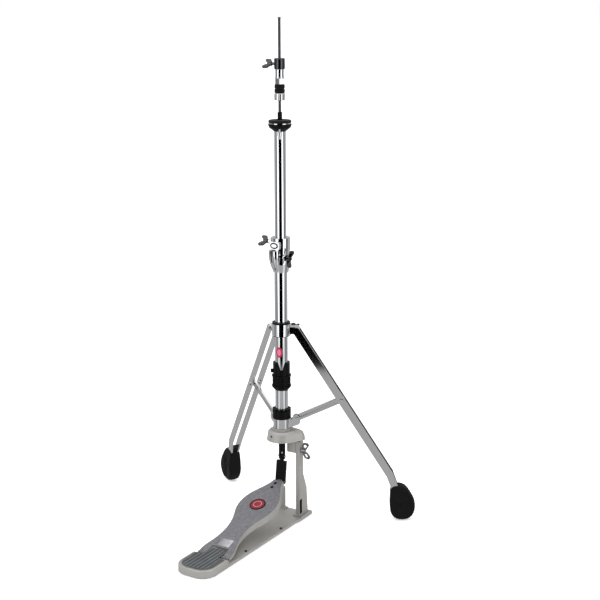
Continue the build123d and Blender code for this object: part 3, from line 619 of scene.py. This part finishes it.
lacquer = white_lacquer()
outer_oval = oval_plate("lock_plate_ring", 20 * MM, 13 * MM, 2.2 * MM, 0.35 * MM, plate_place)
outer_oval.data.materials.append(blackened)
inner_place = plate_place @ Matrix.Translation((0, 0, 0.3 * MM))
inner_oval = oval_plate("lock_plate_oval", 14 * MM, 7.5 * MM, 1.0 * MM, 0.4 * MM, inner_place)
inner_oval.data.materials.append(lacquer)
for oval_piece in (outer_oval, inner_oval):
    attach(oval_piece, "memory_lock")
paint_inside(
    bpy.data.objects["memory_lock_finish"], lacquer,
    lambda middle, normal: normal.dot(plate_facing) > 0.6 and middle.dot(plate_facing) > PLATE_FACE_FROM,
)
finish_with(chrome, "hub_rivets", "collar_rivets", "right_strut_rivet", "left_strut_rivet")

# ---------------------------------------------------------------------------------------------------
# Legs: pairs of flat rolled steel bars, plated and riveted to the collar. A single flat strut ties each
# pair to the hub, and a blackened bracket holds the rubber foot between the bars.

for side in ("right", "left"):
    for bar in ("leg_outer_bar", "leg_inner_bar", "strut"):
        softened(f"{side}_{bar}", 0.6 * MM, satin_steel)
    finish_with(blackened, f"{side}_foot_bracket")

# ---------------------------------------------------------------------------------------------------
# Rubber feet: thick discs of moulded black rubber pushed over the ends of the leg bars. Their flat
# sides are smooth and the rim carries moulded ribs for grip.

FOOT_RIM = [
    # the foot's outline along the leg, distance from the tube's axis and height (mm)
    (250, 84), (244.5, 76), (243, 58), (242.3, 38), (245, 19), (254, 6), (269, 0.6), (285, 3.5),
    (296.5, 14), (301.2, 30), (299, 48), (290.5, 65), (280, 79), (270, 85), (259, 86),
]
FOOT_HALF_THICKNESS = [(0, 10.5), (6, 13.8), (32, 15.8), (58, 15.0), (76, 13.2), (86, 12.4)]
EDGE_ROUND = 4.0
RIM_SUNK = 1.6
RIB_SPACING = 6.2 * MM
RIB_RADIUS = 2.0 * MM
RIB_SUNK = 0.3
RIB_SHORTER = 1.2


def half_thickness(height):
    """Half the foot's thickness at a height, in mm."""
    # between the pairs of height and half thickness it runs straight
    for (z0, t0), (z1, t1) in zip(FOOT_HALF_THICKNESS, FOOT_HALF_THICKNESS[1:]):
        if height <= z1:
            return t0 + (t1 - t0) * (height - z0) / (z1 - z0)
    return FOOT_HALF_THICKNESS[-1][1]


def smooth_loop(points, per_span=8):
    """Closed smooth curve through the points."""
    loop = []
    count = len(points)
    for i in range(count):
        p0, p1, p2, p3 = (Vector(points[(i + k) % count]) for k in (-1, 0, 1, 2))
        for k in range(per_span):
            t = k / per_span
            loop.append(
                0.5 * (2 * p1 + (p2 - p0) * t + (2 * p0 - 5 * p1 + 4 * p2 - p3) * t * t
                       + (3 * p1 - p0 - 3 * p2 + p3) * t * t * t)
            )
    return loop


rim_loop = smooth_loop(FOOT_RIM)
rim_middle = sum(rim_loop, Vector((0, 0))) / len(rim_loop)
# the rim is moulded in by this much, so that the ribs stand out to the foot's true outline
rim_loop = [spot + (rim_middle - spot).normalized() * RIM_SUNK for spot in rim_loop]


def rib_tree():
    """Geometry Nodes: one spindle-shaped rib across the rim at every step along the outline."""
    tree = bpy.data.node_groups.new("foot_ribs", "GeometryNodeTree")
    tree.interface.new_socket("Geometry", in_out="INPUT", socket_type="NodeSocketGeometry")
    spacing = tree.interface.new_socket("Spacing", in_out="INPUT", socket_type="NodeSocketFloat")
    thickness = tree.interface.new_socket("Rib Radius", in_out="INPUT", socket_type="NodeSocketFloat")
    tree.interface.new_socket("Geometry", in_out="OUTPUT", socket_type="NodeSocketGeometry")
    source = add_node(tree, "NodeGroupInput")
    spots = add_node(
        tree, "GeometryNodeCurveToPoints",
        {"Curve": source.outputs["Geometry"], "Length": source.outputs["Spacing"]}, mode="LENGTH",
    )
    reach = add_node(tree, "GeometryNodeInputRadius")
    size = add_node(
        tree, "ShaderNodeCombineXYZ",
        {"X": source.outputs["Rib Radius"], "Y": reach.outputs["Radius"], "Z": source.outputs["Rib Radius"]},
    )
    ball = add_node(tree, "GeometryNodeMeshUVSphere", {"Segments": 12, "Rings": 16, "Radius": 1.0})
    ribs = add_node(
        tree, "GeometryNodeInstanceOnPoints",
        {
            "Points": spots.outputs["Points"],
            "Instance": ball.outputs["Mesh"],
            "Scale": size.outputs["Vector"],
        },
    )
    solid = add_node(tree, "GeometryNodeRealizeInstances", {"Geometry": ribs.outputs["Instances"]})
    painted = add_node(
        tree, "GeometryNodeSetMaterial", {"Geometry": solid.outputs["Geometry"], "Material": black_rubber}
    )
    add_node(tree, "NodeGroupOutput", {"Geometry": painted.outputs["Geometry"]})
    return tree, spacing.identifier, thickness.identifier


ribs_made, spacing_input, radius_input = rib_tree()
for side, direction in (("right", 30), ("left", 150)):
    turn_out = Matrix.Rotation(math.radians(direction), 4, "Z")
    work = bmesh.new()
    rings = []
    for hand in (-1, 1):
        sequence = [("side", 0.15), ("side", 0.45), ("side", 0.75), ("side", 0.92)]
        sequence += [("edge", share) for share in (0.0, 0.12, 0.3, 0.55, 0.8, 1.0)]
        if hand == 1:
            sequence.reverse()
        for kind, share in sequence:
            ring = []
            for spot in rim_loop:
                half = half_thickness(spot.y) * MM
                away = (rim_middle - spot).normalized()
                if kind == "edge":
                    # a quarter round from the flat side out to the rim
                    angle = share * math.pi / 2
                    place_in = spot + away * EDGE_ROUND * (1 - math.sin(angle))
                    across_leg = half - EDGE_ROUND * MM * (1 - math.cos(angle))
                else:
                    inner = spot + away * EDGE_ROUND
                    place_in = rim_middle + (inner - rim_middle) * share
                    across_leg = half + 0.4 * MM * (1 - share)
                ring.append(work.verts.new((place_in.x * MM, hand * across_leg, place_in.y * MM)))
            rings.append(ring)
    count = len(rim_loop)
    for first, second in zip(rings, rings[1:]):
        for i in range(count):
            j = (i + 1) % count
            work.faces.new((first[i], first[j], second[j], second[i]))
    for ring in (rings[0], rings[-1]):
        hub_vertex = work.verts.new(sum((v.co for v in ring), Vector()) / count)
        for i in range(count):
            work.faces.new((ring[i], ring[(i + 1) % count], hub_vertex))
    bmesh.ops.recalc_face_normals(work, faces=work.faces)
    data = bpy.data.meshes.new(f"{side}_foot_boot")
    work.to_mesh(data)
    work.free()
    data.transform(turn_out)
    data.shade_smooth()
    data.materials.append(black_rubber)
    boot = put_in_scene(f"{side}_foot_boot", data)
    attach(boot, f"{side}_leg")
    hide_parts(f"{side}_foot")

    path = bpy.data.curves.new(f"{side}_foot_ribs", "CURVE")
    path.dimensions = "3D"
    line = path.splines.new("POLY")
    ribbed = rim_loop[len(rim_loop) // 3 : -6]
    line.points.add(len(ribbed) - 1)
    for point, spot in zip(line.points, ribbed):
        sunk = spot + (rim_middle - spot).normalized() * RIB_SUNK
        point.co = (sunk.x * MM, 0, sunk.y * MM, 1)
        point.radius = (half_thickness(spot.y) - RIB_SHORTER) * MM
    rib_holder = put_in_scene(f"{side}_foot_ribs", path)
    maker = rib_holder.modifiers.new("ribs", "NODES")
    maker.node_group = ribs_made
    maker[spacing_input] = RIB_SPACING
    maker[radius_input] = RIB_RADIUS
    bpy.context.view_layer.update()
    ribs_grown = rib_holder.evaluated_get(bpy.context.evaluated_depsgraph_get())
    rib_mesh = bpy.data.meshes.new_from_object(ribs_grown)
    bpy.data.objects.remove(rib_holder)
    rib_mesh.transform(turn_out)
    rib_mesh.shade_smooth()
    rib_piece = put_in_scene(f"{side}_foot_ribs", rib_mesh)
    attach(rib_piece, f"{side}_leg")

# ---------------------------------------------------------------------------------------------------
# Wing screws: forged steel with two swept wings, tumbled until every edge is round, then chrome
# plated. The one on the post is a lighter pattern with a window in each wing.

# the wing screws' chrome is given a dark grey tone: painted dark reflection standing in for the dark
# surroundings the polished metal mirrors
painted_dark_chrome = bright_chrome("painted_dark_chrome", "#4e4f52", 0.06, 0.16)
for wing_node in ("clamp_wing_screw", "collar_wing_screw", "memory_wing_screw", "clutch_wing_bolt"):
    softened(wing_node, 1.1 * MM, painted_dark_chrome, segments=3)
pale_chrome = bright_chrome("post_screw_chrome", "#a9aaad", 0.05, 0.12)
softened("post_wing_screw", 1.3 * MM, pale_chrome, segments=3)

# ---------------------------------------------------------------------------------------------------
# Cymbal seat: a black moulded cup with a bright washer, a wool felt and a nylon rod sleeve. The cup
# rocks on the sleeve and its screw sets the tilt.

softened("seat_cup", 0.6 * MM, black_plastic)
finish_with(black_plastic, "seat_sleeve")
finish_with(chrome, "seat_washer", "tilter_screw")


def wool_felt(name, dark, light):
    """Pressed wool felt: matt, with matted fibres that catch the light at the edge."""
    material, tree, shader, place = new_material(
        name, Roughness=0.95, Specular_IOR_Level=0.15, Sheen_Weight=0.08, Sheen_Roughness=0.5
    )
    fibres = add_node(
        tree, "ShaderNodeTexNoise", {"Vector": place, "Scale": 1400.0, "Detail": 5.0, "Distortion": 1.5}
    )
    mottle(tree, shader, fibres.outputs["Fac"], dark, light)
    bump = add_node(
        tree, "ShaderNodeBump", {"Height": fibres.outputs["Fac"], "Strength": 0.6, "Distance": 0.0006}
    )
    tree.links.new(bump.outputs["Normal"], shader.inputs["Normal"])
    return material


def felt_disc(name, low, high, bore, material, body, edge=1.6):
    """A felt washer with soft rounded edges."""
    radius = (high.x - low.x) / 2
    middle = Vector(((low.x + high.x) / 2, (low.y + high.y) / 2, 0))
    z0, z1 = low.z, high.z
    soft = min(edge * MM, (z1 - z0) * 0.4)
    profile = [(bore, z0 + soft * 0.4), (bore + soft * 0.4, z0), (radius - soft, z0)]
    profile += [(radius - soft * 0.3, z0 + soft * 0.3), (radius, z0 + soft), (radius, z1 - soft)]
    profile += [(radius - soft * 0.3, z1 - soft * 0.3), (radius - soft, z1), (bore + soft * 0.4, z1)]
    profile += [(bore, z1 - soft * 0.4), (bore, z0 + soft * 0.4)]
    disc = turned(name, profile, Matrix.Translation(middle))
    disc.data.shade_smooth()
    disc.data.materials.append(material)
    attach(disc, body)
    return disc


grey_felt = wool_felt("grey_wool_felt", "#08080a", "#161618")
black_felt = wool_felt("black_wool_felt", "#060606", "#101011")
SEAT_FELT_BORE = 7.5 * MM
seat_pad = felt_disc("seat_felt_pad", *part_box("seat_felt"), SEAT_FELT_BORE, grey_felt, "seat")
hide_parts("seat_felt")

# ---------------------------------------------------------------------------------------------------
# Clutch: turned brass, chrome plated, with two black felts that would hold the top cymbal.

for plated_node in ("clutch_body", "clutch_stem", "clutch_lower_nut"):
    softened(plated_node, 0.5 * MM, chrome)
# the head that takes the wing bolt, above the turned body, gets the dark grey chrome: painted dark reflection
CLUTCH_HEAD_FROM = 1011 * MM
CLUTCH_FELT_BORE = 5.5 * MM
FELT_HALF_GAP = 0.15 * MM
paint_inside(
    bpy.data.objects["clutch_body_finish"], painted_dark_chrome,
    lambda middle, normal: middle.z > CLUTCH_HEAD_FROM,
)
felt_low, felt_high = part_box("clutch_felts")
felt_middle = (felt_low.z + felt_high.z) / 2
lower_top = Vector((felt_high.x, felt_high.y, felt_middle - FELT_HALF_GAP))
upper_foot = Vector((felt_low.x, felt_low.y, felt_middle + FELT_HALF_GAP))
lower_felt = felt_disc("clutch_lower_felt", felt_low, lower_top, CLUTCH_FELT_BORE, black_felt, "clutch")
upper_felt = felt_disc("clutch_upper_felt", upper_foot, felt_high, CLUTCH_FELT_BORE, black_felt, "clutch")
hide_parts("clutch_felts")

# ---------------------------------------------------------------------------------------------------
# Studio: a pale floor, a white surround with a dark gap in front for the polished metal to
# reflect, soft lights and the camera.


def plain_surface(name, tone, glow):
    """Matt grey surface with a steady light of its own, for the floor and the studio's walls."""
    return new_material(
        name, Roughness=0.9, Specular_IOR_Level=0.0, Base_Color=(tone, tone, tone, 1),
        Emission_Color=(1, 1, 1, 1), Emission_Strength=glow,
    )[0]


def stage_sheet(name, corners, material):
    """One flat face of the studio."""
    mesh = bpy.data.meshes.new(name)
    mesh.from_pydata([tuple(corner) for corner in corners], [], [tuple(range(len(corners)))])
    mesh.materials.append(material)
    sheet = put_in_scene(name, mesh)
    return sheet


def glossy_only(sheet):
    """The sheet shows only in reflections."""
    sheet.visible_camera = False
    sheet.visible_diffuse = False
    sheet.visible_shadow = False
    sheet.visible_transmission = False


FLOOR_HALF = 30
FLOOR_DROP = 0.0005
TABLE_DROP = 0.001
STRIP_DROP = 0.0008
TABLE_FRONT = 1.2
TABLE_FAR = 3.1
STRIP_HALF = 0.45
WALL_OUT = 3.2
WALL_FOOT = -2.5
WALL_TOP = 2.6
floor = stage_sheet(
    "floor", [(x * FLOOR_HALF, y * FLOOR_HALF, -FLOOR_DROP) for x, y in ((-1, -1), (1, -1), (1, 1), (-1, 1))],
    plain_surface("floor_paper", 0.9, 0.405),
)
floor.visible_glossy = False
camera_azimuth = math.radians(32.43)
toward_camera = Vector((math.sin(camera_azimuth), -math.cos(camera_azimuth), 0))
across = Vector((math.cos(camera_azimuth), math.sin(camera_azimuth), 0))


def from_front(angle, reach, height):
    """Point at an angle from the front (degrees), a distance out from the tube's axis and a height."""
    turn = math.radians(angle)
    return (toward_camera * math.cos(turn) + across * math.sin(turn)) * reach + Vector((0, 0, height))


def table_edge(angle):
    """Point on the table's edge: straight in front, and round behind."""
    reach = TABLE_FRONT / math.cos(math.radians(angle)) if abs(angle) < 66 else TABLE_FAR
    return from_front(angle, reach, -TABLE_DROP)


# The table top and the walls are split in sectors, given by their two angles from the front (degrees)
# and their brightness. Each has a twin on the other side.
TABLE_SECTORS = ((0, 29, 0.5), (29, 62, 0.95), (62, 96, 0.3), (96, 138, 0.5), (138, 180, 0.5))
WALL_SECTORS = ((0, 29, 0.0), (29, 62, 1.9), (62, 96, 0.22), (96, 180, 0.55))
for number, (start, stop, glow) in enumerate(TABLE_SECTORS):
    paper = plain_surface(f"table_paper_{number}", 0.0, glow)
    for hand in (1, -1):
        wedge = [(0, 0, -TABLE_DROP), table_edge(start * hand), table_edge(stop * hand)]
        glossy_only(stage_sheet(f"reflected_table_{number}_{hand}", wedge, paper))
strip_corners = ((0, -STRIP_HALF), (TABLE_FRONT, -STRIP_HALF), (TABLE_FRONT, STRIP_HALF), (0, STRIP_HALF))
strip = [toward_camera * out + across * aside + Vector((0, 0, -STRIP_DROP)) for out, aside in strip_corners]
glossy_only(stage_sheet("reflected_table_strip", strip, plain_surface("table_strip_paper", 0.0, 0.5)))
for number, (start, stop, glow) in enumerate(WALL_SECTORS):
    shade = plain_surface(f"studio_wall_{number}", 0.0, glow)
    halfway = (start + stop) / 2
    for hand in (1, -1):
        for a, b in ((start, halfway), (halfway, stop)):
            corners = ((a, WALL_FOOT), (b, WALL_FOOT), (b, WALL_TOP), (a, WALL_TOP))
            wall = [from_front(angle * hand, WALL_OUT, height) for angle, height in corners]
            glossy_only(stage_sheet(f"studio_wall_{number}_{hand}_{a:.0f}", wall, shade))

world = bpy.data.worlds.new("studio")
bpy.context.scene.world = world
world.use_nodes = True
world_tree = world.node_tree
backdrop = world_tree.nodes["Background"]
backdrop.inputs["Color"].default_value = (1, 1, 1, 1)
# the sky is white to the camera and lights the stand more from above than from the sides
sky_place = add_node(world_tree, "ShaderNodeTexCoord").outputs["Generated"]
sky_axes = add_node(world_tree, "ShaderNodeSeparateXYZ", {"Vector": sky_place})
sky_rise = add_node(
    world_tree, "ShaderNodeMapRange",
    {"Value": sky_axes.outputs["Z"], "From Min": 0.0, "From Max": 0.9, "To Min": 0.62, "To Max": 1.35},
)
seen_direct = add_node(world_tree, "ShaderNodeLightPath").outputs["Is Camera Ray"]
sky_strength = add_node(
    world_tree, "ShaderNodeMix", {0: seen_direct, 2: sky_rise.outputs["Result"], 3: 1.0}, data_type="FLOAT"
)
world_tree.links.new(sky_strength.outputs[0], backdrop.inputs["Strength"])


def soft_light(name, place, size, power):
    """A square soft box aimed at the middle of the stand."""
    data = bpy.data.lights.new(name, "AREA")
    data.size = size
    data.energy = power
    lamp = put_in_scene(name, data)
    lamp.location = place
    lamp.rotation_euler = (Vector((0, 0, 0.5)) - Vector(place)).to_track_quat("-Z", "Y").to_euler()
    lamp.visible_glossy = False
    lamp.visible_camera = False


soft_light("soft_box_left", (-1.6, -2.2, 2.4), 1.6, 28)
soft_light("soft_box_right", (2.6, -0.6, 2.2), 1.4, 10)

camera_data = bpy.data.cameras.new("camera")
camera_data.sensor_width = 36.0
camera_data.lens = 79.0
camera_data.clip_end = 100
camera = put_in_scene("camera", camera_data)
camera_distance = 2.8
camera_height = 1.202
look_down = math.radians(13.85)
look_across = math.radians(31.58)
camera_roll = math.radians(-0.17)
camera.matrix_world = (
    Matrix.Translation(toward_camera * camera_distance + Vector((0, 0, camera_height)))
    @ Matrix.Rotation(look_across, 4, "Z")
    @ Matrix.Rotation(math.pi / 2 - look_down, 4, "X")
    @ Matrix.Rotation(camera_roll, 4, "Z")
)
bpy.context.scene.camera = camera
bpy.context.scene.view_settings.view_transform = "Standard"
